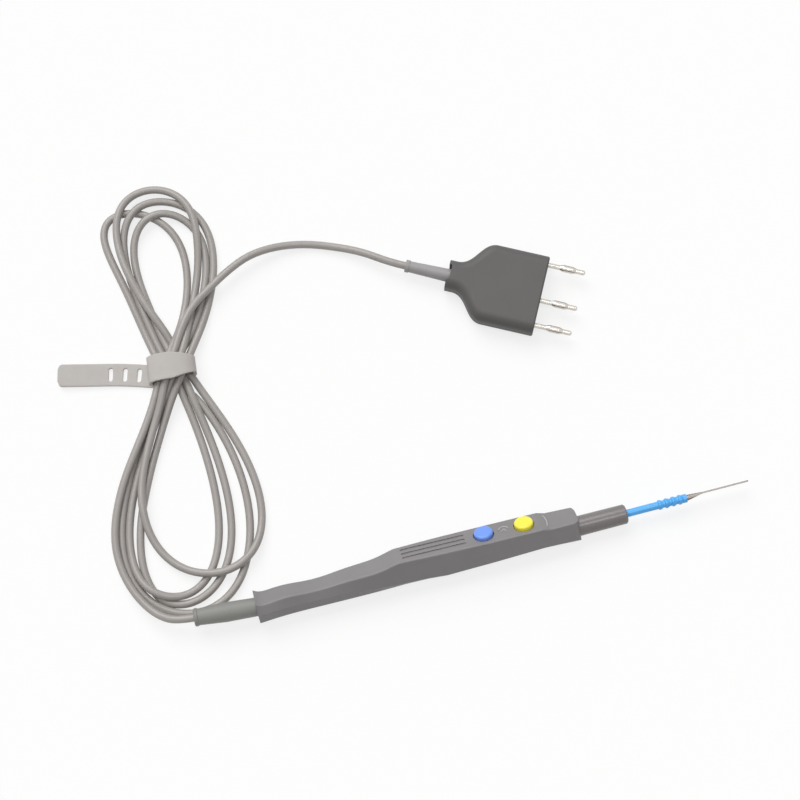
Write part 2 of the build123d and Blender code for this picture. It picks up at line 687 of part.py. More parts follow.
def make_pin(y):
    """Turned pin with a rounded head, and a waist that carries the spring."""
    middle = PLUG_THICK / 2
    head = PIN_DIAMETER / 2
    waist = PIN_CORE_DIAMETER / 2
    waist_end = PIN_LENGTH - PIN_TIP_LENGTH
    return turned(
        [
            (-PIN_ROOT, 0),
            (-PIN_ROOT, head),
            (SPRING_START, head),
            (SPRING_START, waist),
            (waist_end, waist),
            (waist_end, head),
            (PIN_LENGTH - PIN_TIP_ROUND, head),
            (PIN_LENGTH - PIN_TIP_ROUND / 4, head - PIN_TIP_ROUND / 2),
            (PIN_LENGTH, head - PIN_TIP_ROUND),
            (PIN_LENGTH, 0),
        ],
        middle,
        y,
    )


def make_spring(y):
    """Thin cage round the pin's waist, bulged to a round crest and slotted into leaves."""
    start = SPRING_START + SEAT_CLEARANCE
    end = PIN_LENGTH - PIN_TIP_LENGTH - SEAT_CLEARANCE
    middle = (start + end) / 2
    collar = PIN_CORE_DIAMETER / 2 + SEAT_CLEARANCE
    crest = SPRING_DIAMETER / 2

    def outline(grow):
        return [
            (start + SPRING_COLLAR, collar + grow),
            (middle - SPRING_CREST / 2, crest - SPRING_THICK + grow),
            (middle + SPRING_CREST / 2, crest - SPRING_THICK + grow),
            (end - SPRING_COLLAR, collar + grow),
        ]

    inside = [(start, collar)] + outline(0.0) + [(end, collar)]
    outside = [(start, collar + SPRING_THICK)] + outline(SPRING_THICK) + [(end, collar + SPRING_THICK)]
    cage = turned(inside + outside[::-1])
    slot_length = end - start - 2 * SPRING_COLLAR
    slot = Pos(0, 0, crest) * Box(slot_length, SPRING_SLOT_WIDTH, 2 * crest)
    for i in range(SPRING_SLOTS):
        cage -= Pos(middle, 0, 0) * Rot(i * 360 / SPRING_SLOTS + 45, 0, 0) * slot
    return Pos(0, y, PLUG_THICK / 2) * cage


def make_plug():
    """Moulded plug, its boot, its pins with springs, and the cores inside, in the plug's own frame."""
    middle = PLUG_THICK / 2
    back = -PLUG_STRAIGHT - PLUG_FLARE - PLUG_NECK_LENGTH
    jacket = back + PLUG_JACKET_SEAT
    body = extrude(plug_outline(), PLUG_THICK)
    levels = body.edges().group_by(Axis.Z)
    long_edges = [edge for edge in levels[0] + levels[-1] if edge.center().X < -EDGE_ROUND]
    long_edges = [edge for edge in long_edges if edge.center().X > back + EDGE_ROUND]
    body = fillet(long_edges, PLUG_EDGE_ROUND)
    body = fillet(body.edges().group_by(Axis.X)[-1], PLUG_FACE_ROUND)
    notch = extrude(SlotOverall(2 * PLUG_NOTCH_LENGTH, PLUG_NOTCH_WIDTH), PLUG_THICK)
    body -= Pos(back, 0, middle) * notch
    body -= rod(back - 1, back + PLUG_BOOT_SEAT, PLUG_BOOT_DIAMETER, middle)
    body -= rod(back, jacket, CABLE_DIAMETER, middle)
    boot_end = back - PLUG_BOOT_LENGTH
    boot = turned(
        [
            (boot_end, 0),
            (boot_end, PLUG_BOOT_LIP_DIAMETER / 2),
            (boot_end + PLUG_BOOT_LIP_LENGTH, PLUG_BOOT_LIP_DIAMETER / 2),
            (boot_end + PLUG_BOOT_LIP_LENGTH, PLUG_BOOT_END_DIAMETER / 2),
            (back, PLUG_BOOT_DIAMETER / 2),
            (back + PLUG_BOOT_SEAT, PLUG_BOOT_DIAMETER / 2),
            (back + PLUG_BOOT_SEAT, 0),
        ],
        middle,
    )
    boot -= rod(boot_end - 1, back + PLUG_BOOT_SEAT + 1, CABLE_DIAMETER, middle)
    pieces = {
        "plug_boot": boot,
        "plug_cable_end": rod(boot_end, jacket, CABLE_DIAMETER, middle),
    }
    for number, (y, side) in enumerate(zip(PIN_PLACES, (1, 0, -1)), start=1):
        pin = make_pin(y)
        wire = tube(
            [
                (jacket, side * CORE_SPREAD, middle),
                (jacket + PLUG_WIRE_LEAD, side * PLUG_WIRE_FAN, middle),
                (-PIN_ROOT - PLUG_WIRE_RUN, y, middle),
                (-PIN_ROOT, y, middle),
            ],
            CORE_DIAMETER,
            f"plug_wire_{number}",
        )
        body -= rod(-PIN_ROOT, 1, PIN_DIAMETER, middle, y)
        body -= wire
        pieces[f"pin_core_{number}"] = pin
        pieces[f"pin_spring_{number}"] = make_spring(y)
        pieces[f"plug_wire_{number}"] = wire
    pieces["plug_body"] = body
    return pieces


def hull_of(circles):
    """Face round a group of circles, given as x, y and radius."""
    rings = [Pos(x, y) * Circle(radius) for x, y, radius in circles]
    return make_hull([edge for ring in rings for edge in ring.edges()])


def make_hank():
    """Outer shape of the tied hank: two open loops that meet at a raised waist."""
    loops = []
    for outside, inside in ((UPPER_OUTSIDE, UPPER_INSIDE), (LOWER_OUTSIDE, LOWER_INSIDE)):
        loops.append(extrude(hull_of(outside) - hull_of(inside), HANK_HEIGHT))
    here = Pos(*TIE) * Rot(0, 0, TIE_TURN)
    zone = Box(CLEAR_OF_ALL, STRAP_WIDTH + 2 * STRAP_GAP, CLEAR_OF_ALL)
    waist = Box(WAIST_WIDTH, WAIST_LENGTH, WAIST_HEIGHT, align=MIDDLE_AND_UP)
    waist = fillet(waist.edges().filter_by(Axis.Y), HANK_ROUND)
    hank = loops[0] + loops[1] - here * zone
    return hank + here * Pos(0, 0, WAIST_LIFT) * waist


def make_strap():
    """Flat band round the waist of the hank, with a slotted tail that lies on the floor."""
    inside_width = WAIST_WIDTH + 2 * STRAP_GAP
    inside_height = WAIST_HEIGHT + 2 * STRAP_GAP

    def ring_face(grow):
        width = inside_width + 2 * grow
        height = inside_height + 2 * grow
        return Pos(0, STRAP_THICK + inside_height / 2) * RectangleRounded(width, height, HANK_ROUND + grow)

    band = extrude(Plane.XZ * (ring_face(STRAP_THICK) - ring_face(0)), STRAP_WIDTH / 2, both=True)
    band = Pos(*TIE) * Rot(0, 0, TIE_TURN) * band
    tail = RectangleRounded(STRAP_TAIL_LENGTH, STRAP_WIDTH, STRAP_TAIL_ROUND)
    for place in STRAP_SLOTS:
        slot = Rot(0, 0, 90) * SlotOverall(STRAP_SLOT_LENGTH, STRAP_SLOT_WIDTH)
        tail -= Pos(place - STRAP_TAIL_LENGTH / 2, 0) * slot
    tail = Pos((STRAP_TAIL_LENGTH + inside_width) / 2, 0) * extrude(tail, STRAP_THICK)
    return band + Pos(*TIE) * Rot(0, 0, STRAP_TAIL_TURN) * tail


def lowest_middle(pieces):
    """Place that brings the bottom centre of a group's box to the origin."""
    boxes = [piece.bounding_box() for piece in pieces]
    low = [min(getattr(box.min, axis) for box in boxes) for axis in "XYZ"]
    high = [max(getattr(box.max, axis) for box in boxes) for axis in "XYZ"]
    return Pos(-(low[0] + high[0]) / 2, -(low[1] + high[1]) / 2, -low[2])


def make_cable(nodes, pencil_place, plug_place):
    """Hank, strap and the two free stretches, which end on the boots."""
    plug_back = -PLUG_STRAIGHT - PLUG_FLARE - PLUG_NECK_LENGTH - PLUG_BOOT_LENGTH
    boot_end = (pencil_place * LEAN * Pos(-BOOT_LENGTH, 0, 0)).position
    boot_lead = (pencil_place * LEAN * Pos(-BOOT_LENGTH - EXIT_RUN, 0, 0)).position
    plug_lead = (plug_place * Pos(plug_back - EXIT_RUN, 0, PLUG_THICK / 2)).position
    plug_end = (plug_place * Pos(plug_back, 0, PLUG_THICK / 2)).position
    hank = make_hank()
    start = tube([boot_end, boot_lead] + START_ROUTE, CABLE_DIAMETER, "cable_start")
    finish = tube(FINISH_ROUTE + [plug_lead, plug_end], CABLE_DIAMETER, "cable_finish")
    nodes["cable_hank"] = hank
    nodes["cable_strap"] = make_strap()
    nodes["cable_start"] = start - hank
    nodes["cable_finish"] = finish - hank


def main():
    """Builds every piece in the shared frame and writes one STEP file each."""
    roll = Rot(-ROLL, 0, 0)
    rolled = {name: roll * piece for name, piece in make_pencil().items()}
    shift = lowest_middle(rolled.values())
    nodes = {name: shift * piece for name, piece in rolled.items()}
    plug_place = Pos(*PLUG_PLACE) * Rot(0, 0, PLUG_TURN)
    nodes.update({name: plug_place * piece for name, piece in make_plug().items()})
    make_cable(nodes, shift * roll, plug_place)
    os.makedirs("parts", exist_ok=True)
    for name, piece in nodes.items():
        export_step(piece, f"parts/{name}.step")
    print(len(nodes), "nodes, pencil moved by", (shift * roll).position)


main()
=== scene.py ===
# %% [markdown]
# # An electrosurgical pencil, dressed for its portrait
# The object is a slim handpiece with two buttons and a blade, a long grey cable that is wound into
# a hank, and a flat plug with three bulged pins. The rigid pieces arrive finished, as the frame,
# and this lesson gives them their surfaces. It also makes the two soft pieces, the cable and the
# strap that ties it, because a soft thing looks right only when it lies under its own weight. Last
# come three small additions: a bridge on the plug, signs on the deck and domes under the buttons.

# %% Load the frame
import json
from math import comb

import bmesh
import bpy
import numpy as np
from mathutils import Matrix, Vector


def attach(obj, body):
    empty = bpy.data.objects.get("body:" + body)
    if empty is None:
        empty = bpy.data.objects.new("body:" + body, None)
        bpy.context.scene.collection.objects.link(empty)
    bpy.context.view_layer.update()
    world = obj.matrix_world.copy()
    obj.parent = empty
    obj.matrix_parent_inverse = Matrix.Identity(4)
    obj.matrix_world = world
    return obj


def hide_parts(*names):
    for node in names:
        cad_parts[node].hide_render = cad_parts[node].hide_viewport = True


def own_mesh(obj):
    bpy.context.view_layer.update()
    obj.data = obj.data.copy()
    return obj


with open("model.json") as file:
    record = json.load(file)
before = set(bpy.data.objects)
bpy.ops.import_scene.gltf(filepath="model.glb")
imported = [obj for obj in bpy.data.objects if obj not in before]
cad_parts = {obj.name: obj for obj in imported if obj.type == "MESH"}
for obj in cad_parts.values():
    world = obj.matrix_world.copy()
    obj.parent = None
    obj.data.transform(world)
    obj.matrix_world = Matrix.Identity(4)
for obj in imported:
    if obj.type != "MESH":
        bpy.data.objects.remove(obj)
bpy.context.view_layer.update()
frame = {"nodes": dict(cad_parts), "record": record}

nodes = frame["nodes"]
MM = 0.001
TINY = 1e-9
PINS = (1, 2, 3)

# %% [markdown]
# ## Putting things in the scene
# Whatever is made below, from the camera to the cable, enters the scene through one helper.

# %% New objects
def show(name, data):
    """Object at the origin with this data, linked to the scene."""
    item = bpy.data.objects.new(name, data)
    bpy.context.scene.collection.objects.link(item)
    return item


# %% [markdown]
# ## The camera
# The object lies on a table and is seen from high above, a little from the left, through a long
# lens. A camera can be placed by hand until the picture fits, but an angle, a height, a distance
# and the point that it looks at are easier to read and to correct, so those four place it here.

# %% Camera at the photograph's angle
VIEW_AZIMUTH = np.radians(-14.73)
VIEW_ELEVATION = np.radians(75.0)
VIEW_DISTANCE = 779.8 * MM
VIEW_TARGET = Vector((-12.45, 68.9, 0.0)) * MM
LENS = 85.0
CLIP_START = 10 * MM

camera_data = bpy.data.cameras.new("camera")
camera_data.lens = LENS
camera_data.clip_start = CLIP_START
camera = show("camera", camera_data)
towards_camera = Vector((
    np.sin(VIEW_AZIMUTH) * np.cos(VIEW_ELEVATION),
    -np.cos(VIEW_AZIMUTH) * np.cos(VIEW_ELEVATION),
    np.sin(VIEW_ELEVATION),
))
camera.location = VIEW_TARGET + towards_camera * VIEW_DISTANCE
camera.rotation_euler = (-towards_camera).to_track_quat("-Z", "Y").to_euler()
bpy.context.scene.camera = camera
bpy.context.scene.view_settings.view_transform = "Standard"
print("camera at", [round(value / MM) for value in camera.location], "mm")

# %% [markdown]
# ## Small helpers for materials
# Every finish below is a handful of shader nodes. One helper adds a node, sets its values and
# links its inputs. Three more do what most finishes share, a cloudy tint, a raised noise and a
# sheen that follows it, so that a material reads as a list of what it is made of. Colours are
# sRGB hex values, as a colour picker shows them, turned to the linear values of the shader.

# %% Helpers for nodes and colours
def linear(hex_colour):
    """sRGB hex to linear RGBA: the low end is divided by 12.92, the rest follows a 2.4 power."""
    digits = hex_colour.lstrip("#")
    channels = np.array([int(digits[i:i + 2], 16) for i in (0, 2, 4)]) / 255
    curve = np.where(channels <= 0.04045, channels / 12.92, ((channels + 0.055) / 1.055) ** 2.4)
    return (*curve.tolist(), 1.0)


def add_node(tree, kind, inputs=None, **settings):
    """Adds one shader node. Inputs, by name or number, are values or sockets to link from."""
    node = tree.nodes.new("ShaderNode" + kind)
    for name, value in settings.items():
        setattr(node, name, value)
    for key, value in (inputs or {}).items():
        if isinstance(value, bpy.types.NodeSocket):
            tree.links.new(value, node.inputs[key])
        else:
            node.inputs[key].default_value = value
    return node


def new_material(name, **values):
    """A node material with these values on its shader's own sockets, and its object coordinates."""
    material = bpy.data.materials.new(name)
    material.use_nodes = True
    tree = material.node_tree
    shader = tree.nodes["Principled BSDF"]
    for key, value in values.items():
        shader.inputs[key.replace("_", " ")].default_value = value
    return material, tree, shader, add_node(tree, "TexCoord").outputs["Object"]


def tint_in_clouds(tree, shader, coords, shade, pale, cloud_size, detail):
    """Base colour that drifts between two close shades, in clouds of that size."""
    cloud = add_node(tree, "TexNoise", {"Vector": coords, "Scale": 1 / cloud_size, "Detail": detail})
    shades = {0: cloud.outputs[0], 6: linear(shade), 7: linear(pale)}
    tint = add_node(tree, "Mix", shades, data_type="RGBA")
    tree.links.new(tint.outputs[2], shader.inputs["Base Color"])


def raise_noise(tree, shader, coords, scale, detail, height):
    """Noise that stands up from the surface by that height. Returns the noise's socket."""
    noise = add_node(tree, "TexNoise", {"Vector": coords, "Scale": scale, "Detail": detail})
    bump = add_node(tree, "Bump", {"Height": noise.outputs[0], "Distance": height})
    tree.links.new(bump.outputs[0], shader.inputs["Normal"])
    return noise.outputs[0]


def vary_sheen(tree, shader, noise, roughness, spread):
    """Roughness that follows a noise, by up to that spread either way."""
    limits = {"Value": noise, "To Min": roughness - spread, "To Max": roughness + spread}
    sheen = add_node(tree, "MapRange", limits)
    tree.links.new(sheen.outputs[0], shader.inputs["Roughness"])


def finish_node(name, material):
    """Gives a node of the frame its material."""
    mesh = nodes[name].data
    mesh.materials.clear()
    mesh.materials.append(material)


# %% [markdown]
# ## Floor and light
# The pencil lies on a white sweep under soft light that comes from above and a little from
# behind: the deck of the handle is lighter than the flank that faces the viewer. An even sky and
# one broad sun give that anywhere on the floor, where a lamp nearby would fade with distance. A
# second, smaller sun overhead draws a streak along whatever is round and glossy.

# %% Floor and light
FLOOR_SIZE = 6.0
FLOOR_DROP = 0.1 * MM
SKY_STRENGTH = 0.32
# Strength, the way to the source, and the angle that it fills.
LAMPS = {
    "sun": (2.1, Vector((-0.2, 0.75, 0.9)), np.radians(46)),
    "overhead": (0.5, Vector((0.1, -0.12, 1.0)), np.radians(14)),
}
WHITE_SHARE = 0.76


def seen_rays(tree):
    """Socket that is 1 for rays to the eye, straight, by a reflection or through glass, and else 0."""
    rays = add_node(tree, "LightPath").outputs
    seen = add_node(tree, "Math", {0: rays["Is Camera Ray"], 1: rays["Is Glossy Ray"]}, operation="MAXIMUM")
    seen = add_node(tree, "Math", {0: seen.outputs[0], 1: rays["Is Transmission Ray"]}, operation="MAXIMUM")
    return seen.outputs[0]


half = FLOOR_SIZE / 2
corners = [(-half, -half), (half, -half), (half, half), (-half, half)]
floor_mesh = bpy.data.meshes.new("floor")
floor_mesh.from_pydata([(x, y, -FLOOR_DROP) for x, y in corners], [], [(0, 1, 2, 3)])
floor = show("floor", floor_mesh)

paper, tree, shader, _ = new_material(
    "white_sweep_paper", Roughness=0.9, Specular_IOR_Level=0.1, Base_Color=linear("#FAFAF9")
)
share = add_node(tree, "Math", {0: seen_rays(tree), 1: WHITE_SHARE}, operation="MULTIPLY")
white = add_node(tree, "Emission", {"Color": (1, 1, 1, 1), "Strength": 1.0})
surface = add_node(tree, "MixShader", {0: share.outputs[0], 1: shader.outputs[0], 2: white.outputs[0]})
tree.links.new(surface.outputs[0], tree.nodes["Material Output"].inputs["Surface"])
floor_mesh.materials.append(paper)

world = bpy.data.worlds.new("sky")
bpy.context.scene.world = world
world.use_nodes = True
tree = world.node_tree
sky = add_node(tree, "MapRange", {"Value": seen_rays(tree), "To Min": SKY_STRENGTH, "To Max": 1.0})
tree.links.new(sky.outputs[0], tree.nodes["Background"].inputs["Strength"])
tree.nodes["Background"].inputs["Color"].default_value = (1, 1, 1, 1)

for name, (strength, source, spread) in LAMPS.items():
    lamp_data = bpy.data.lights.new(name, "SUN")
    lamp_data.energy = strength
    lamp_data.angle = spread
    lamp = show(name, lamp_data)
    lamp.rotation_euler = source.to_track_quat("Z", "Y").to_euler()
print("floor", FLOOR_SIZE, "m,", len(LAMPS), "lamps, sky", SKY_STRENGTH)

# %% [markdown]
# ## The cable's line
# One cable runs from the boot of the handle to the plug. Its two free ends are given points.
# Between them it makes four turns of a figure of eight, tied at the waist. Each loop is a
# Bezier curve with three or four handles: it leaves the tie towards the first, swings past the
# next and comes home from the last, so a few numbers say how large a loop is and which way it
# leans. Loops drawn with circles would be too neat: these differ in size and fan out, as a hank does.

# %% Plan of the cable
CABLE_DIAMETER = 3.2
TIE = np.array([-100.2, 104.5])
TIE_TURN = np.radians(-6.0)
TIE_ACROSS = np.array([np.cos(TIE_TURN), np.sin(TIE_TURN)])
TIE_ALONG = np.array([-np.sin(TIE_TURN), np.cos(TIE_TURN)])
TIE_AXES = np.stack([TIE_ACROSS, TIE_ALONG], axis=1)
LOOP_STEP = 5.5
LOOP_SAMPLES = 400
TIE_REACH = 36.0

# Free ends, in millimetres: from the boot to the tie, and from the tie to the plug.
BOOT_TAIL = [
    (-114.62, 1.38, 7.03),
    (-121.6, 1.97, 7.03),
    (-127.4, 5.2, 5.6),
    (-132.4, 11.2, 5.0),
    (-136.4, 19.5, 4.8),
    (-138.6, 28.5, 4.5),
    (-138.8, 38.0, 4.5),
    (-136.7, 47.2, 4.5),
    (-133.0, 56.0, 4.5),
    (-128.2, 64.6, 4.5),
    (-122.4, 73.0, 5.0),
    (-116.1, 81.8, 5.6),
    (-110.0, 91.0, 6.2),
]
PLUG_TAIL = [
    (-96.6, 112.0, 8.2),
    (-91.6, 121.2, 8.0),
    (-85.6, 128.6, 7.5),
    (-77.6, 134.2, 6.9),
    (-68.6, 139.8, 6.0),
    (-58.4, 144.4, 4.4),
    (-46.6, 146.0, 2.4),
    (-34.4, 144.6, 1.6),
    (-22.6, 140.2, 1.6),
    (-11.6, 134.0, 2.4),
    (-1.98, 126.32, 5.5),
    (4.19, 123.01, 5.5),
]

# Loops in the cable's own order, upper and lower by turns: the rank that says which strands it
# lies over, the same near the tie, where it leaves the tie, measured across it, and its handles.
LOOPS = [
    (1.0, 3.5, -3.0, [(-84, 129), (-46, 206), (-146, 169), (-120, 201)]),
    (2.0, 2.0, -0.8, [(-58, 40), (-89, -44), (-137, 8), (-172, 15)]),
    (3.0, 3.0, 0.0, [(-57, 147), (-71, 191), (-101, 172), (-118, 186)]),
    (4.0, 4.0, 2.4, [(-71, -13), (-115, 5), (-170, -14)]),
    (5.0, 5.0, 3.4, [(-33, 186), (-103, 188), (-125, 195)]),
    (6.0, 6.0, 0.0, [(-79, -11), (-119, 1), (-174, 4)]),
    (7.0, 7.0, 1.6, [(-69, 163), (-48, 197), (-130, 199), (-118, 182)]),
    (8.0, 8.0, 2.0, [(-29, -14), (-141, -12), (-149, 51), (-115, 70)]),
]
PLUG_TAIL_COLUMN = -1.6


def bezier(points, share):
    """Bezier curve of any degree: each point weighted by its Bernstein polynomial of the share."""
    degree = len(points) - 1
    powers = np.arange(degree + 1)
    ways = np.array([comb(degree, power) for power in powers])
    weights = ways * share[:, None] ** powers * (1 - share[:, None]) ** (degree - powers)
    return weights @ np.array(points, float)


def arc_length(line):
    """Distance along a polyline at each of its points."""
    return np.concatenate([[0], np.linalg.norm(np.diff(line, axis=0), axis=1).cumsum()])


def at_lengths(line, lengths):
    """Points of a polyline at these distances along it, each coordinate interpolated."""
    own = arc_length(line)
    return np.stack([np.interp(lengths, own, column) for column in line.T], axis=1)


def hank_plan():
    """Plan of all loops, evenly spaced, with each point's rank and whether it rises to the right."""
    columns = [column for _, _, column, _ in LOOPS] + [PLUG_TAIL_COLUMN]
    plan, ranks, rising = [], [], []
    for number, (rank, tie_rank, column, handles) in enumerate(LOOPS):
        start = TIE + TIE_ACROSS * column
        end = TIE + TIE_ACROSS * columns[number + 1]
        curve = bezier([start, *handles, end], np.linspace(0, 1, LOOP_SAMPLES))
        total = arc_length(curve)[-1]
        count = int(total / LOOP_STEP)
        points = at_lengths(curve, np.arange(count) * total / count)
        upper = number % 2 == 0
        first_half = np.arange(count) < count / 2
        plan.append(points)
        ranks.append(np.where(np.linalg.norm(points - TIE, axis=1) < TIE_REACH, tie_rank, rank))
        rising.append(first_half if upper else ~first_half)
    return np.concatenate(plan), np.concatenate(ranks), np.concatenate(rising)


hank, hank_ranks, hank_rising = hank_plan()
print(len(hank), "points in", len(LOOPS), "loops, about", round(arc_length(hank)[-1]), "mm")

# %% [markdown]
# ## How the turns lie on each other
# A cable can't pass through itself, so where two strands cross, one climbs over the other in a
# long low hump. The heights could be typed in for each crossing, but there are dozens. Instead
# each point has a rank, and the cable is laid by a rule: a point is at least as high as any
# strand of lower rank under it allows, and the strand bends no tighter than a stiff cable does.
# The rule is repeated until nothing moves. In the tie all strands that rise to the right are on top.

# %% Heights of the cable
SETTLED_STEP = 2.0
OWN_BEND = 4  # diameters along the cable, within which it can't come to lie on itself
PRESSED_DIAMETER = 3.0
TIED_DIAMETER = 2.0
HUMP_RADIUS = 60.0
STRAP_THICK = 1.3
BAND_REACH = 5.0
BOOT_TAIL_RANK = 3.5
PLUG_TAIL_RANK = 9.0
SWEEPS = 14
SMOOTHED_OVER = 7

boot_tail = np.array(BOOT_TAIL)
plug_tail = np.array(PLUG_TAIL)
plan = np.concatenate([boot_tail[:, :2], hank, plug_tail[:, :2]])
ranks = np.concatenate([
    np.full(len(boot_tail), BOOT_TAIL_RANK), hank_ranks, np.full(len(plug_tail), PLUG_TAIL_RANK)
])
rising = np.concatenate([np.full(len(boot_tail), True), hank_rising, np.full(len(plug_tail), True)])
lowest = np.concatenate([
    boot_tail[:, 2], np.full(len(hank), CABLE_DIAMETER / 2), plug_tail[:, 2]
])


def settle(plan, ranks, rising, lowest):
    """Height of each plan point after the strands are laid on each other.

    Two strands closer in plan than a diameter must differ in height by the leg of a right
    triangle whose long side is the diameter. A hump falls off as the square of the distance
    over twice its radius, and the highest of all humps and the lowest heights counts.
    """
    own = arc_length(plan)
    length = np.arange(0, own[-1], SETTLED_STEP)
    fine = at_lengths(plan, length)
    nearest = np.abs(length[:, None] - own[None, :]).argmin(axis=1)
    from_tie = (fine - TIE) @ TIE_AXES
    in_tie = np.linalg.norm(from_tie, axis=1) < TIE_REACH
    rank, up = ranks[nearest], rising[nearest]
    floor = np.interp(length, own, lowest)
    on_band = np.abs(from_tie[:, 1]) < BAND_REACH
    floor = np.where(in_tie & on_band, np.maximum(floor, CABLE_DIAMETER / 2 + STRAP_THICK), floor)
    apart = np.abs(length[:, None] - length[None, :])
    gap = np.linalg.norm(fine[:, None] - fine[None, :], axis=2)
    crossing = (in_tie[:, None] & in_tie[None, :]) & (up[:, None] != up[None, :])
    over = np.where(crossing, up[:, None], rank[:, None] > rank[None, :])
    thick = np.interp(np.linalg.norm(from_tie, axis=1), [0, TIE_REACH], [TIED_DIAMETER, PRESSED_DIAMETER])
    touching = over & (gap < thick[:, None]) & (apart > OWN_BEND * PRESSED_DIAMETER)
    climb = np.where(touching, np.sqrt(np.maximum(thick[:, None] ** 2 - gap**2, 0)), -np.inf)
    fall = apart**2 / (2 * HUMP_RADIUS)
    height = floor
    for _ in range(SWEEPS):
        needed = np.maximum(floor, (height[None, :] + climb).max(axis=1))
        height = (needed[None, :] - fall).max(axis=1)
    weights = np.hanning(SMOOTHED_OVER + 2)[1:-1]
    padded = np.pad(height, SMOOTHED_OVER // 2, mode="edge")
    return np.interp(own, length, np.convolve(padded, weights / weights.sum(), mode="valid"))


heights = settle(plan, ranks, rising, lowest)
print("cable is laid", round(heights.max() + CABLE_DIAMETER / 2, 1), "mm high at most")

# %% [markdown]
# Laid like that, the strands are stacked like planks. A real hank gives: strands slip off each
# other and sink to the table. So each strand now takes many small steps. It is pushed away from
# any strand that it touches, sinks a little, is drawn back to its drawn line, and is evened out
# along its length. The pushes are worked out on fine samples and handed to the route's points.

# %% Strands make room
TOUCH = 3.15
WATCHED = 3  # touching distances, within which two strands are followed
ROUNDS = 240
SINK = 0.05
PULL_TO_PLAN = 0.03
EVENED = 0.3
BAND_CEILING = 9.6
HELD_AT_BOOT = 3
HELD_AT_PLUG = 7


def make_room(points):
    """Points after the strands have pushed each other apart and sunk.

    Each fine sample is a weighted sum of two route points. A touching pair is parted along its
    own line by half of what it lacks, and the same weights hand the moves back to the points.
    """
    own = arc_length(points)
    length = np.arange(0, own[-1], SETTLED_STEP)
    after = np.clip(np.searchsorted(own, length, side="right"), 1, len(own) - 1)
    share = (length - own[after - 1]) / (own[after] - own[after - 1])
    rows = np.arange(len(length))
    weights = np.zeros((len(length), len(points)))
    weights[rows, after - 1] = 1 - share
    weights[rows, after] = share
    fine = weights @ points
    near = np.linalg.norm(fine[:, None] - fine[None, :], axis=2) < WATCHED * TOUCH
    apart = np.abs(length[:, None] - length[None, :]) > OWN_BEND * TOUCH
    first, second = np.nonzero(np.triu(near & apart))
    load = weights.sum(axis=0)[:, None]
    held = np.arange(len(points)) < HELD_AT_BOOT
    held |= np.arange(len(points)) >= len(points) - HELD_AT_PLUG
    drawn = points * (1, 1, 0)
    for _ in range(ROUNDS):
        fine = weights @ points
        between = fine[first] - fine[second]
        distance = np.maximum(np.linalg.norm(between, axis=1), TINY)
        push = between * (np.maximum(TOUCH - distance, 0) / 2 / distance)[:, None]
        moves = np.zeros_like(fine)
        np.add.at(moves, first, push)
        np.add.at(moves, second, -push)
        drift = points + weights.T @ moves / load - drawn
        drift -= (points - drawn) * (PULL_TO_PLAN, PULL_TO_PLAN, 0) + np.array([0, 0, SINK])
        drift[1:-1] += EVENED * ((drift[:-2] + drift[2:]) / 2 - drift[1:-1])
        moved = drawn + drift
        from_tie = np.abs((points[:, :2] - TIE) @ TIE_AXES)
        on_band = (from_tie[:, 1] < BAND_REACH) & (from_tie[:, 0] < TIE_REACH)
        bottom = CABLE_DIAMETER / 2 + STRAP_THICK * on_band
        top = np.where(on_band, BAND_CEILING, np.inf)
        moved[:, 2] = np.clip(moved[:, 2], bottom, top)
        points = np.where(held[:, None], points, moved)
    return points


laid = make_room(np.column_stack([plan, heights]))
route = laid * MM
print("cable is now", round(laid[:, 2].max() + CABLE_DIAMETER / 2, 1), "mm high at most")

# %% [markdown]
# ## The cable itself
# A curve with a round bevel is the plain way to a cable: it stays one smooth line, and its
# thickness is one number. The points steer a NURBS spline that starts and ends on them.

# %% Cable as one spline
def make_cable(route):
    """One open NURBS spline through the whole route, with a round section."""
    line = bpy.data.curves.new("cable", "CURVE")
    line.dimensions = "3D"
    line.bevel_depth = CABLE_DIAMETER / 2 * MM
    line.bevel_resolution = 7
    line.resolution_u = 4
    line.use_fill_caps = True
    spline = line.splines.new("NURBS")
    spline.points.add(len(route) - 1)
    spline.points.foreach_set("co", np.column_stack([route, np.ones(len(route))]).ravel())
    spline.order_u = 3
    spline.use_endpoint_u = True
    return show("cable", line)


def mesh_points(mesh):
    """Places of a mesh's vertices, as rows of an array."""
    points = np.zeros(len(mesh.vertices) * 3)
    mesh.vertices.foreach_get("co", points)
    return points.reshape(-1, 3)


def spline_length(cable):
    """Length of the curve's own line, read from a copy of the curve without its bevel."""
    bare = show("bare_line", cable.data.copy())
    bare.data.bevel_depth = 0
    bpy.context.view_layer.update()
    line = bpy.data.meshes.new_from_object(bare.evaluated_get(bpy.context.evaluated_depsgraph_get()))
    length = arc_length(mesh_points(line))[-1]
    bpy.data.objects.remove(bare)
    bpy.data.meshes.remove(line)
    return length


cable = make_cable(route)
cable_length = spline_length(cable)
print("cable length", round(cable_length, 3), "m")

# %% [markdown]
# ## The jacket of the cable
# Soft PVC, drawn hot through a die: warm grey, satin, with a faint cloudiness and no grain. The
# die leaves the surface slightly uneven along the cable, which breaks up its long highlights.

# %% Extruded PVC jacket
def extruded_pvc(name, shade, pale):
    """Two close greys in soft clouds, and a slow ripple that softens the highlights."""
    cloud_size = 14 * MM
    ripple_size = 2.2 * MM
    ripple_height = 0.03 * MM
    material, tree, shader, coords = new_material(name, Roughness=0.36, IOR=1.53)
    tint_in_clouds(tree, shader, coords, shade, pale, cloud_size, detail=2.0)
    raise_noise(tree, shader, coords, 1 / ripple_size, detail=1.0, height=ripple_height)
    return material


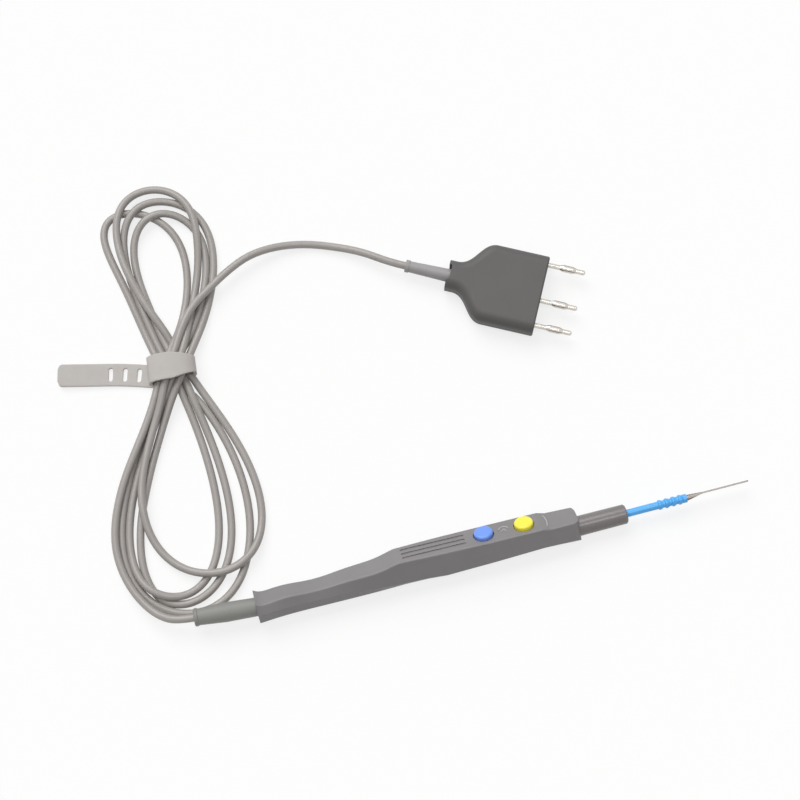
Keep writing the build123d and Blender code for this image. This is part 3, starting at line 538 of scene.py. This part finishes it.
jacket = extruded_pvc("extruded_pvc_grey", "#9A9591", "#A5A09C")
cable.data.materials.append(jacket)
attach(cable, "handpiece")
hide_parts("cable_start", "cable_hank", "cable_finish")
for hidden_end in ("cable_end", "plug_cable_end"):
    finish_node(hidden_end, jacket)

# %% [markdown]
# ## The strap
# A soft silicone strap goes round the waist of the hank and leaves a long tail with slots on the
# table. It is one flat band, so it is worked out flat first, as length along the band and place
# across it, with the slots left open. The flat sheet is then carried along the band's path. A box
# with holes cut by a boolean would do for the tail, but not for the arched hoop and its curl.

# %% Path of the strap
STRAP_WIDTH = 9.4
TAIL_REACH = 47.9
TAIL_TURN_AT = -8.2
TAIL_PLACES = np.array([-28.0, -12.0, -9.0, -8.0])
TAIL_HEADINGS = np.radians([-7.3, -12.9, -12.9, 0.0])
TAIL_ASIDE = 1.1
TAIL_TIP_LIFT = 0.9
HOOP_HALF_WIDTH = 9.3
HOOP_TOP = 10.4
HOOP_SQUARENESS = 2.5
CURL_RADIUS = 1.7
CURL_LIP = 1.0
HOOP_PLACES = np.array([-20.0, -10.0, 0.0, 12.0])
HOOP_WIDTHS = np.array([1.0, 0.72, 1.2, 1.16])
TAIL_SAMPLES, HOOP_SAMPLES, CURL_SAMPLES = 120, 160, 24


def strap_path():
    """Centre line of the band: across the tie, along the hank, up, and the heading in plan.

    The tail comes in along the floor. The hoop is a superellipse, whose cosine and sine are
    raised to two over its squareness. Its left flank drops to a quarter-round curl on the tail,
    whose middle is the tail's thickness, half the band's own and the curl's radius above the floor.
    """
    low = STRAP_THICK / 2
    middle = (low + HOOP_TOP) / 2
    rise = (HOOP_TOP - low) / 2
    tail = np.linspace(-TAIL_REACH, 0, TAIL_SAMPLES)
    round_about = np.radians(np.linspace(-90, 180, HOOP_SAMPLES))[1:]
    power = 2 / HOOP_SQUARENESS
    hoop_u = HOOP_HALF_WIDTH * np.sign(np.cos(round_about)) * np.abs(np.cos(round_about)) ** power
    hoop_w = middle + rise * np.sign(np.sin(round_about)) * np.abs(np.sin(round_about)) ** power
    curl_middle = 3 * low + CURL_RADIUS
    curl = np.radians(np.linspace(180, 270, CURL_SAMPLES))
    curl_u = -HOOP_HALF_WIDTH + CURL_RADIUS + CURL_RADIUS * np.cos(curl)
    curl_w = curl_middle + CURL_RADIUS * np.sin(curl)
    across = np.concatenate([tail, hoop_u, curl_u, [curl_u[-1] + CURL_LIP]])
    tip_share = np.clip((TAIL_TURN_AT - tail) / (TAIL_TURN_AT + TAIL_REACH), 0, 1)
    tail_w = low + TAIL_TIP_LIFT * tip_share**2
    up = np.concatenate([tail_w, hoop_w, curl_w, [curl_w[-1]]])
    heading = np.interp(across, TAIL_PLACES, TAIL_HEADINGS)
    heading[len(tail):] = 0
    step = np.diff(across, append=across[-1])
    ahead = np.cumsum((step * np.cos(heading))[::-1])[::-1]
    aside = np.cumsum((step * np.sin(heading))[::-1])[::-1]
    plan_u = across[-1] - ahead
    plan_v = -aside
    plan_v[:len(tail)] -= TAIL_ASIDE * np.clip(tail / TAIL_TURN_AT, 0, 1)
    return np.column_stack([plan_u, plan_v, up, heading])


path = strap_path()
path_length = arc_length(path[:, :3])
hoop_middle = path_length[path[:, 2].argmax()]
print("strap band is", round(path_length[-1], 1), "mm long")

# %% [markdown]
# The flat band is patches that share their edges: plain strips, and one patch for each slot. A
# slot's patch is a ring of quads between the edge of a rectangle, which spans the band, and the
# slot's round-ended outline, so the mesh flows round the opening and bends without creases.

# %% Flat sheet of the strap
TIP_ROUND = 2.2
SLOT_PLACES = (5.9, 11.8, 17.8)
SLOT_LENGTH = 5.8
SLOT_WIDTH = 1.8
SLOT_MARGIN = 1.6
HALF_PATCH = SLOT_WIDTH / 2 + SLOT_MARGIN
ACROSS_COUNT = 13
ALONG_SLOT_COUNT = 7
SLOT_RINGS = 4
STRIP_STEP = 0.7
MERGE_WITHIN = 0.02
EDGE_ROUND = 0.28
EDGE_ANGLE = np.radians(50)
across_edge = np.linspace(-STRAP_WIDTH / 2, STRAP_WIDTH / 2, ACROSS_COUNT)


def grid_quads(rows, columns, first):
    """Corner numbers of a grid's quads, row by row, from this first vertex on."""
    index = first + np.arange(rows * columns).reshape(rows, columns)
    corners = [index[:-1, :-1], index[1:, :-1], index[1:, 1:], index[:-1, 1:]]
    return np.stack(corners, axis=-1).reshape(-1, 4)


def plain_strip(start, end):
    """Grid over the band's width, narrowed by a quarter circle at the tip's corners.

    The hoop's soft band is pressed wide on top and stretched narrow on its right flank.
    """
    rows = max(2, int((end - start) / STRIP_STEP) + 1)
    along, across = np.meshgrid(np.linspace(start, end, rows), across_edge, indexing="ij")
    inset = np.clip(TIP_ROUND - along, 0, TIP_ROUND)
    half = STRAP_WIDTH / 2 - TIP_ROUND + np.sqrt(TIP_ROUND**2 - inset**2)
    half = half * np.interp(along - hoop_middle, HOOP_PLACES, HOOP_WIDTHS)
    return np.stack([along, across * half / (STRAP_WIDTH / 2)], axis=-1)


def slot_patch(middle):
    """Ring from the slot out to a rectangle: each ray's ends are mixed in equal shares.

    Along a ray the slot's edge is the flat side where that is nearer than the round ends, and
    else the far root of the ray's meeting with the end circle.
    """
    side = np.linspace(-HALF_PATCH, HALF_PATCH, ALONG_SLOT_COUNT)
    edge = across_edge[-1]
    rectangle = np.concatenate([
        np.column_stack([np.full(ACROSS_COUNT, HALF_PATCH), across_edge]),
        np.column_stack([side[::-1], np.full(len(side), edge)])[1:],
        np.column_stack([np.full(ACROSS_COUNT, -HALF_PATCH), across_edge[::-1]])[1:],
        np.column_stack([side, np.full(len(side), -edge)])[1:],
    ])
    angle = np.arctan2(rectangle[:, 1], rectangle[:, 0])
    radius = SLOT_WIDTH / 2
    end_middle = SLOT_LENGTH / 2 - radius
    cosine, sine = np.abs(np.cos(angle)), np.abs(np.sin(angle))
    flat = radius / np.maximum(cosine, TINY)
    curved = end_middle * sine + np.sqrt(np.maximum(radius**2 - (end_middle * cosine) ** 2, 0))
    reach = np.where(flat * sine <= end_middle, flat, curved)
    slot = np.column_stack([reach * np.cos(angle), reach * np.sin(angle)])
    share = np.linspace(0, 1, SLOT_RINGS)[:, None, None]
    return slot * (1 - share) + rectangle * share + np.array([middle, 0.0])


def strap_sheet():
    """All patches of the band from tail tip to lip, as points of (along, across) and quads."""
    hoop_wall = TAIL_REACH + TAIL_TURN_AT
    slots = sorted(hoop_wall - place for place in SLOT_PLACES)
    ends = [0.0] + [middle + HALF_PATCH for middle in slots]
    starts = [middle - HALF_PATCH for middle in slots] + [path_length[-1]]
    patches = [plain_strip(start, end) for start, end in zip(ends, starts)]
    patches += [slot_patch(middle) for middle in slots]
    points, quads, first = [], [], 0
    for patch in patches:
        rows, columns = patch.shape[:2]
        points.append(patch.reshape(-1, 2))
        quads.append(grid_quads(rows, columns, first))
        first += rows * columns
    return np.concatenate(points), np.concatenate(quads)


def carry_along(sheet):
    """Places each flat point: its length finds the path, its place across is set square to it."""
    stations = [np.interp(sheet[:, 0], path_length, column) for column in path.T]
    plan_u, plan_v, up, heading = stations
    u = plan_u - sheet[:, 1] * np.sin(heading)
    v = plan_v + sheet[:, 1] * np.cos(heading)
    ground = TIE + u[:, None] * TIE_ACROSS + v[:, None] * TIE_ALONG
    return np.column_stack([ground, up]) * MM


def mesh_object(name, points, quads):
    """Mesh object at the origin from arrays of points and quads, with its doubles merged."""
    mesh = bpy.data.meshes.new(name)
    mesh.from_pydata(points.tolist(), [], quads.tolist())
    form = bmesh.new()
    form.from_mesh(mesh)
    bmesh.ops.remove_doubles(form, verts=form.verts, dist=MERGE_WITHIN * MM)
    bmesh.ops.recalc_face_normals(form, faces=form.faces)
    form.to_mesh(mesh)
    form.free()
    mesh.polygons.foreach_set("use_smooth", np.full(len(mesh.polygons), True))
    return show(name, mesh)


flat, strap_quads = strap_sheet()
strap = mesh_object("strap", carry_along(flat), strap_quads)
wall = strap.modifiers.new("wall", "SOLIDIFY")
wall.thickness = STRAP_THICK * MM
wall.offset = 0.0
edge_round = strap.modifiers.new("edge_round", "BEVEL")
edge_round.width = EDGE_ROUND * MM
edge_round.segments = 2
edge_round.angle_limit = EDGE_ANGLE
print("strap has", len(strap.data.polygons), "quads")

# %% [markdown]
# ## Silicone of the strap
# Moulded silicone rubber is matt and takes light a little way in, so its edges look soft. A fine
# dust of grain keeps it from looking like paper.

# %% Moulded silicone
def moulded_silicone(name, shade, pale):
    """Two pale greys in soft clouds over a fine matt grain, with light carried under the surface."""
    cloud_size = 6 * MM
    grain_size = 0.35 * MM
    grain_height = 0.012 * MM
    material, tree, shader, coords = new_material(
        name, Roughness=0.62, IOR=1.41, Subsurface_Weight=0.12, Subsurface_Scale=1.0 * MM
    )
    tint_in_clouds(tree, shader, coords, shade, pale, cloud_size, detail=3.0)
    raise_noise(tree, shader, coords, 1 / grain_size, detail=2.0, height=grain_height)
    return material


strap.data.materials.append(moulded_silicone("moulded_silicone_pale", "#B6B2AE", "#C2BEBA"))
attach(strap, "handpiece")
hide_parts("cable_strap")

# %% [markdown]
# ## Moulded plastics and rubber
# The housing, the buttons, the plug and the boots come from moulds whose walls were spark eroded,
# which leaves a fine even grain. The grain is finer than a pixel here, so it is drawn coarser
# than it is, at about a third of a millimetre. What sets them apart is colour and how matt they
# are: ABS is satin, glossy buttons have less grain, and rubber boots have hardly any shine.

# %% Spark-eroded grain
def moulded_plastic(name, shade, pale, roughness, grain_height=0.02):
    """Two close shades in slow clouds, under an even grain that is both bump and roughness."""
    cloud_size = 11 * MM
    grain_size = 0.34 * MM
    material, tree, shader, coords = new_material(name, IOR=1.5)
    tint_in_clouds(tree, shader, coords, shade, pale, cloud_size, detail=3.0)
    grain = raise_noise(tree, shader, coords, 1 / grain_size, detail=2.0, height=grain_height * MM)
    vary_sheen(tree, shader, grain, roughness, spread=0.06)
    return material


housing = moulded_plastic("moulded_abs_grey", "#7F7C7D", "#878485", 0.5)
nose_plastic = moulded_plastic("moulded_nylon_dark", "#726D6C", "#7C7776", 0.28, grain_height=0.012)
plug_plastic = moulded_plastic("moulded_pvc_slate", "#4F4D4C", "#575554", 0.55)
boot_rubber = moulded_plastic("moulded_tpe_grey", "#83837F", "#8B8B87", 0.55, grain_height=0.014)
plug_rubber = moulded_plastic("moulded_tpe_pale", "#979494", "#A09D9D", 0.5, grain_height=0.014)
yellow_cap = moulded_plastic("moulded_abs_yellow", "#F8EA45", "#FBF058", 0.38, grain_height=0.008)
blue_cap = moulded_plastic("moulded_abs_blue", "#6F97EE", "#7AA1F4", 0.38, grain_height=0.008)
sleeve_plastic = moulded_plastic("moulded_polyethylene_blue", "#4BAAF2", "#5DB7F7", 0.3, grain_height=0.01)
seal_rubber = moulded_plastic("moulded_rubber_black", "#2B2B2B", "#333333", 0.6)
board_laminate = moulded_plastic("solder_mask_green", "#2B6B3E", "#33774A", 0.4, grain_height=0.004)
core_jacket = moulded_plastic("extruded_pvc_white", "#D8D5D0", "#E1DED9", 0.45, grain_height=0.006)

plastic_nodes = {
    "upper_shell": housing,
    "lower_shell": housing,
    "nose_sleeve": nose_plastic,
    "plug_body": plug_plastic,
    "plug_boot": plug_rubber,
    "rear_boot": boot_rubber,
    "cut_button": yellow_cap,
    "coag_button": blue_cap,
    "electrode_sleeve": sleeve_plastic,
    "electrode_seal": seal_rubber,
    "switch_board": board_laminate,
}
core_names = ["active_wire", "cut_wire", "coag_wire", *(f"plug_wire_{number}" for number in PINS)]
plastic_nodes.update({name: core_jacket for name in core_names})
for name, material in plastic_nodes.items():
    finish_node(name, material)
print(len(plastic_nodes), "plastic and rubber nodes")

# %% [markdown]
# ## Bridge over the plug's boot
# The neck of the plug is notched where its boot goes in. A short bridge closes the notch but for
# its mouth. It is a block in the plug's own frame: its top follows the neck's rounded edges, a
# hair lower than the neck, and its underside follows the boot.

# %% Neck bridge
PLUG_PLACE = np.array([55.3, 95.6])
PLUG_TURN = np.radians(-28.2)
PLUG_MIDDLE = 5.5
BRIDGE_FROM, BRIDGE_TO = -38.8, -35.2
BRIDGE_HALF = 3.35
NECK_FLAT_HALF, NECK_ROUND = 2.2, 4.0
BRIDGE_DROP = 0.03
BOOT_RADIUS = 2.83
BRIDGE_COUNT = 21
SHARP_ANGLE = np.radians(40)

across = np.linspace(-BRIDGE_HALF, BRIDGE_HALF, BRIDGE_COUNT)
past_flat = np.maximum(np.abs(across) - NECK_FLAT_HALF, 0)
bridge_top = 2 * PLUG_MIDDLE - NECK_ROUND + np.sqrt(NECK_ROUND**2 - past_flat**2) - BRIDGE_DROP
bridge_under = PLUG_MIDDLE + np.sqrt(np.maximum(BOOT_RADIUS**2 - across**2, 0))
block = np.zeros((2, 2, len(across), 3))
block[..., 0] = np.array([BRIDGE_FROM, BRIDGE_TO])[:, None, None]
block[..., 1] = across
block[..., 2] = np.stack([bridge_under, bridge_top])
sides = [block[0], block[1], block[:, 0], block[:, 1], block[:, :, 0], block[:, :, -1]]
counts = [side.shape[0] * side.shape[1] for side in sides]
firsts = np.cumsum([0] + counts[:-1])
block_quads = [grid_quads(*side.shape[:2], first) for side, first in zip(sides, firsts)]
block_points = np.concatenate([side.reshape(-1, 3) for side in sides])
turn = np.array([[np.cos(PLUG_TURN), np.sin(PLUG_TURN)], [-np.sin(PLUG_TURN), np.cos(PLUG_TURN)]])
block_points[:, :2] = PLUG_PLACE + block_points[:, :2] @ turn
bridge = mesh_object("neck_bridge", block_points * MM, np.concatenate(block_quads))
bridge.data.set_sharp_from_angle(angle=SHARP_ANGLE)
bridge.data.materials.append(plug_plastic)
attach(bridge, "handpiece")
print("bridge has", len(bridge.data.polygons), "quads")

# %% [markdown]
# ## Signs on the deck
# Raised signs let a thumb find its way without a look: an arc over an arrowhead between the
# buttons, and a curved stop in front of them. Each is a round line of plastic, half sunk in the
# deck, and painted paler than the deck as a highlight along its top. Its points are dropped on the
# shell along the buttons' own travel, so that they lie on the deck whatever its slope.

# %% Raised signs
SIGN_RADIUS = 2.0
SIGN_ENDS = (10, 170)
SIGN_LINE = 0.55
STOP_AHEAD = 9.3
STOP_WIDTH = 7.0
ABOVE_DECK = 5.0 * MM

joints = {joint["name"]: joint for joint in frame["record"]["behaviour"]["joints"]}
deck_up = -np.array(joints["cut_button_press"]["axis"], float)
deck_ahead = np.array([1.0, 0.0, 0.0])
deck_axes = np.stack([deck_ahead, np.cross(deck_up, deck_ahead), deck_up])


def top_middle(name):
    """Middle of a node's top along the deck, across it and up from it."""
    along = mesh_points(nodes[name].data) @ deck_axes.T
    middle = (along.min(axis=0) + along.max(axis=0)) / 2
    return np.array([middle[0], middle[1], along[:, 2].max()])


def drop_on_deck(middle, line):
    """Points of a line in millimetres about a middle, each where a ray down meets the shell."""
    starts = middle + np.column_stack([line * MM, np.full(len(line), ABOVE_DECK)])
    rays = [nodes["upper_shell"].ray_cast(Vector(start), Vector(-deck_up)) for start in starts @ deck_axes]
    return np.array([place for _, place, _, _ in rays])


def arc_line(radius, start, end, count=15):
    """Points of an arc about the origin, between two angles in degrees."""
    angle = np.radians(np.linspace(start, end, count))
    return radius * np.column_stack([np.cos(angle), np.sin(angle)])


cut_middle, coag_middle = top_middle("cut_button"), top_middle("coag_button")
between_caps = (cut_middle + coag_middle) / 2
arm = SIGN_RADIUS / 2
half_stop = np.degrees(np.arcsin(STOP_WIDTH / 2 / STOP_AHEAD))
sign_lines = [
    drop_on_deck(between_caps, arc_line(SIGN_RADIUS, *SIGN_ENDS)),
    drop_on_deck(between_caps, np.array([(-arm, -arm), (0, arm / 2), (arm, -arm)])),
    drop_on_deck(cut_middle, arc_line(STOP_AHEAD, -half_stop, half_stop)),
]
sign_curve = bpy.data.curves.new("deck_signs", "CURVE")
sign_curve.dimensions = "3D"
sign_curve.bevel_depth = SIGN_LINE / 2 * MM
sign_curve.bevel_resolution = 3
sign_curve.use_fill_caps = True
for line in sign_lines:
    spline = sign_curve.splines.new("POLY")
    spline.points.add(len(line) - 1)
    spline.points.foreach_set("co", np.column_stack([line, np.ones(len(line))]).ravel())
signs = show("deck_signs", sign_curve)
# Painted highlight: the signs get a paler grey than the deck, in place of light catching their raised tops.
sign_curve.materials.append(moulded_plastic("abs_grey_painted_highlight", "#A9A6A7", "#B3B0B1", 0.42))
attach(signs, "handpiece")
print(len(sign_lines), "raised lines on the deck")

# %% [markdown]
# ## Metals
# The blade is stainless steel, ground along its length. The pins are turned brass under bright
# nickel, with tool marks round them. The hidden socket and clamp are bare brass. All three are
# one recipe: a metal whose fine lines are noise stretched along the direction of the tool.

# %% Worked metal
def worked_metal(name, shade, roughness, line_width, line_length, turn):
    """Metal with tool lines: noise squeezed to the line's width, stretched along it, and turned."""
    line_height = 0.0015 * MM
    material, tree, shader, coords = new_material(name, Metallic=1.0, Base_Color=linear(shade))
    stretch = (1 / (line_length * MM), 1 / (line_width * MM), 1 / (line_width * MM))
    turned = add_node(tree, "Mapping", {"Vector": coords, "Rotation": (0, 0, -turn)})
    lines_at = add_node(tree, "Mapping", {"Vector": turned.outputs[0], "Scale": stretch})
    lines = raise_noise(tree, shader, lines_at.outputs[0], 1.0, detail=2.0, height=line_height)
    vary_sheen(tree, shader, lines, roughness, spread=0.05)
    return material


GROUND = {"line_width": 0.15, "line_length": 6.0}
TURNED = {"line_width": 1.2, "line_length": 0.15}
ground_steel = worked_metal("ground_stainless_steel", "#7D7671", 0.36, **GROUND, turn=0.0)
bright_nickel = worked_metal("turned_nickel_plate", "#CFCAC2", 0.18, **TURNED, turn=PLUG_TURN)
bare_brass = worked_metal("turned_brass", "#D8B36A", 0.3, **TURNED, turn=0.0)

metal_nodes = {"electrode_blade": ground_steel, "electrode_socket": bare_brass, "cable_clamp": bare_brass}
for number in PINS:
    metal_nodes[f"pin_core_{number}"] = bright_nickel
    metal_nodes[f"pin_spring_{number}"] = bright_nickel
for name, material in metal_nodes.items():
    finish_node(name, material)
print(len(metal_nodes), "metal nodes")

# %% [markdown]
# ## Snap domes
# Under each button a thin steel dome stands on the board, and it snaps flat as the button goes
# down. A stiff dome would be pierced by the button's stem. The dome on show is a copy of the
# solid, with its triangles joined, on a mesh of its own that rides with the handpiece.

# %% Domes as joined copies
JOIN_WITHIN = 0.001 * MM

for button in ("cut", "coag"):
    joined = bmesh.new()
    joined.from_mesh(nodes[f"{button}_dome"].data)
    bmesh.ops.remove_doubles(joined, verts=joined.verts, dist=JOIN_WITHIN)
    dome_mesh = bpy.data.meshes.new(f"{button}_snap_dome")
    joined.to_mesh(dome_mesh)
    joined.free()
    dome_mesh.materials.append(ground_steel)
    dome = show(f"{button}_snap_dome", dome_mesh)
    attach(dome, "handpiece")
    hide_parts(f"{button}_dome")
    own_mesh(dome)
    print(dome.name, "has", len(dome_mesh.polygons), "triangles")

# %% [markdown]
# ## What the cable carries
# The pieces on the cable are gathered in a list: the plug with its boot, pins and wires at the
# far end, the bridge on its neck, and the strap round its hank.

on_cable = [strap, bridge, "plug_body", "plug_boot", "plug_cable_end"]
for number in PINS:
    on_cable += [f"plug_wire_{number}", f"pin_core_{number}", f"pin_spring_{number}"]
